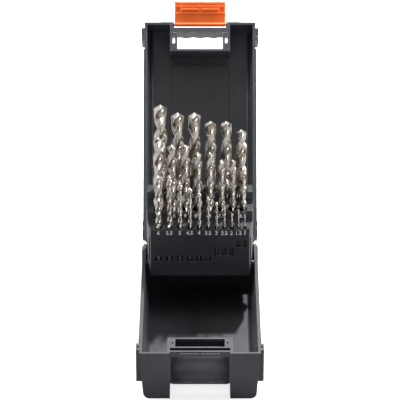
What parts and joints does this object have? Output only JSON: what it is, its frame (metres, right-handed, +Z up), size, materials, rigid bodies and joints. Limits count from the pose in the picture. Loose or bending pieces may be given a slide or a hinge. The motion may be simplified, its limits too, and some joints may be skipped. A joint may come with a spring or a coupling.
{
  "type": "drill bit case",
  "caption": "Book-type plastic case, standing open, with a stepped folding tray of graded twist drills, a carrying handle and a snap latch.",
  "frame": {"origin": "centre of the flat face that the front shell rests on", "axes": "+X right, -Y towards the handle end of the front shell, +Z up"},
  "size_m": [0.1186, 0.3894, 0.2469],
  "materials": {
    "black_plastic": "fine matt grain",
    "tray_plastic": "fine matt grain",
    "orange_plastic": "satin",
    "pin_steel": "drawn",
    "drill_steel": "ground bright"
  },
  "bodies": {
    "front_shell": {"front_shell": "black_plastic", "hinge_pins": "pin_steel"},
    "back_shell": {"back_shell": "black_plastic", "latch_pin": "pin_steel"},
    "latch": {"latch": "orange_plastic"},
    "drill_tray": {"drill_tray": "tray_plastic"},
    "drill_13": {"drill_13": "drill_steel"},
    "drill_12_5": {"drill_12_5": "drill_steel"},
    "drill_12": {"drill_12": "drill_steel"},
    "drill_11_5": {"drill_11_5": "drill_steel"},
    "drill_11": {"drill_11": "drill_steel"},
    "drill_10_5": {"drill_10_5": "drill_steel"},
    "drill_10": {"drill_10": "drill_steel"},
    "drill_9_5": {"drill_9_5": "drill_steel"},
    "drill_9": {"drill_9": "drill_steel"},
    "drill_8_5": {"drill_8_5": "drill_steel"},
    "drill_8": {"drill_8": "drill_steel"},
    "drill_7_5": {"drill_7_5": "drill_steel"},
    "drill_7": {"drill_7": "drill_steel"},
    "drill_6_5": {"drill_6_5": "drill_steel"},
    "drill_6": {"drill_6": "drill_steel"},
    "drill_5_5": {"drill_5_5": "drill_steel"},
    "drill_5": {"drill_5": "drill_steel"},
    "drill_4_5": {"drill_4_5": "drill_steel"},
    "drill_4": {"drill_4": "drill_steel"},
    "drill_3_5": {"drill_3_5": "drill_steel"},
    "drill_3": {"drill_3": "drill_steel"},
    "drill_2_5": {"drill_2_5": "drill_steel"},
    "drill_2": {"drill_2": "drill_steel"},
    "drill_1_5": {"drill_1_5": "drill_steel"},
    "drill_1": {"drill_1": "drill_steel"}
  },
  "joints": [
    {"name": "shell_hinge", "type": "hinge", "parent": "front_shell", "child": "back_shell", "pos_m": [0, 0.1141, 0.048], "axis": [-1, 0, 0], "range_deg": [-125, 0]},
    {"name": "tray_pivot", "type": "hinge", "parent": "front_shell", "child": "drill_tray", "pos_m": [0, 0.0815, 0.042], "axis": [-1, 0, 0], "range_deg": [-90, 0]},
    {"name": "latch_hinge", "type": "hinge", "parent": "back_shell", "child": "latch", "pos_m": [0, 0.25292, 0.2262], "axis": [-1, 0, 0], "range_deg": [-90, 0]},
    {"name": "drill_13_slide", "type": "slide", "parent": "drill_tray", "child": "drill_13", "axis": [0, 0, 1], "range_m": [0, 0.0629]},
    {"name": "drill_12_5_slide", "type": "slide", "parent": "drill_tray", "child": "drill_12_5", "axis": [0, 0, 1], "range_m": [0, 0.0713]},
    {"name": "drill_12_slide", "type": "slide", "parent": "drill_tray", "child": "drill_12", "axis": [0, 0, 1], "range_m": [0, 0.0713]},
    {"name": "drill_11_5_slide", "type": "slide", "parent": "drill_tray", "child": "drill_11_5", "axis": [0, 0, 1], "range_m": [0, 0.0713]},
    {"name": "drill_11_slide", "type": "slide", "parent": "drill_tray", "child": "drill_11", "axis": [0, 0, 1], "range_m": [0, 0.0713]},
    {"name": "drill_10_5_slide", "type": "slide", "parent": "drill_tray", "child": "drill_10_5", "axis": [0, 0, 1], "range_m": [0, 0.0713]},
    {"name": "drill_10_slide", "type": "slide", "parent": "drill_tray", "child": "drill_10", "axis": [0, 0, 1], "range_m": [0, 0.0592]},
    {"name": "drill_9_5_slide", "type": "slide", "parent": "drill_tray", "child": "drill_9_5", "axis": [0, 0, 1], "range_m": [0, 0.0592]},
    {"name": "drill_9_slide", "type": "slide", "parent": "drill_tray", "child": "drill_9", "axis": [0, 0, 1], "range_m": [0, 0.0592]},
    {"name": "drill_8_5_slide", "type": "slide", "parent": "drill_tray", "child": "drill_8_5", "axis": [0, 0, 1], "range_m": [0, 0.0592]},
    {"name": "drill_8_slide", "type": "slide", "parent": "drill_tray", "child": "drill_8", "axis": [0, 0, 1], "range_m": [0, 0.0592]},
    {"name": "drill_7_5_slide", "type": "slide", "parent": "drill_tray", "child": "drill_7_5", "axis": [0, 0, 1], "range_m": [0, 0.0592]},
    {"name": "drill_7_slide", "type": "slide", "parent": "drill_tray", "child": "drill_7", "axis": [0, 0, 1], "range_m": [0, 0.0592]},
    {"name": "drill_6_5_slide", "type": "slide", "parent": "drill_tray", "child": "drill_6_5", "axis": [0, 0, 1], "range_m": [0, 0.0592]},
    {"name": "drill_6_slide", "type": "slide", "parent": "drill_tray", "child": "drill_6", "axis": [0, 0, 1], "range_m": [0, 0.0398]},
    {"name": "drill_5_5_slide", "type": "slide", "parent": "drill_tray", "child": "drill_5_5", "axis": [0, 0, 1], "range_m": [0, 0.0398]},
    {"name": "drill_5_slide", "type": "slide", "parent": "drill_tray", "child": "drill_5", "axis": [0, 0, 1], "range_m": [0, 0.0398]},
    {"name": "drill_4_5_slide", "type": "slide", "parent": "drill_tray", "child": "drill_4_5", "axis": [0, 0, 1], "range_m": [0, 0.0398]},
    {"name": "drill_4_slide", "type": "slide", "parent": "drill_tray", "child": "drill_4", "axis": [0, 0, 1], "range_m": [0, 0.0398]},
    {"name": "drill_3_5_slide", "type": "slide", "parent": "drill_tray", "child": "drill_3_5", "axis": [0, 0, 1], "range_m": [0, 0.0398]},
    {"name": "drill_3_slide", "type": "slide", "parent": "drill_tray", "child": "drill_3", "axis": [0, 0, 1], "range_m": [0, 0.0366]},
    {"name": "drill_2_5_slide", "type": "slide", "parent": "drill_tray", "child": "drill_2_5", "axis": [0, 0, 1], "range_m": [0, 0.0366]},
    {"name": "drill_2_slide", "type": "slide", "parent": "drill_tray", "child": "drill_2", "axis": [0, 0, 1], "range_m": [0, 0.0366]},
    {"name": "drill_1_5_slide", "type": "slide", "parent": "drill_tray", "child": "drill_1_5", "axis": [0, 0, 1], "range_m": [0, 0.0236]},
    {"name": "drill_1_slide", "type": "slide", "parent": "drill_tray", "child": "drill_1", "axis": [0, 0, 1], "range_m": [0, 0.0236]}
  ],
  "couplings": [
    {"joint": "tray_pivot", "follows": "shell_hinge", "ratio": 0.72}
  ]
}
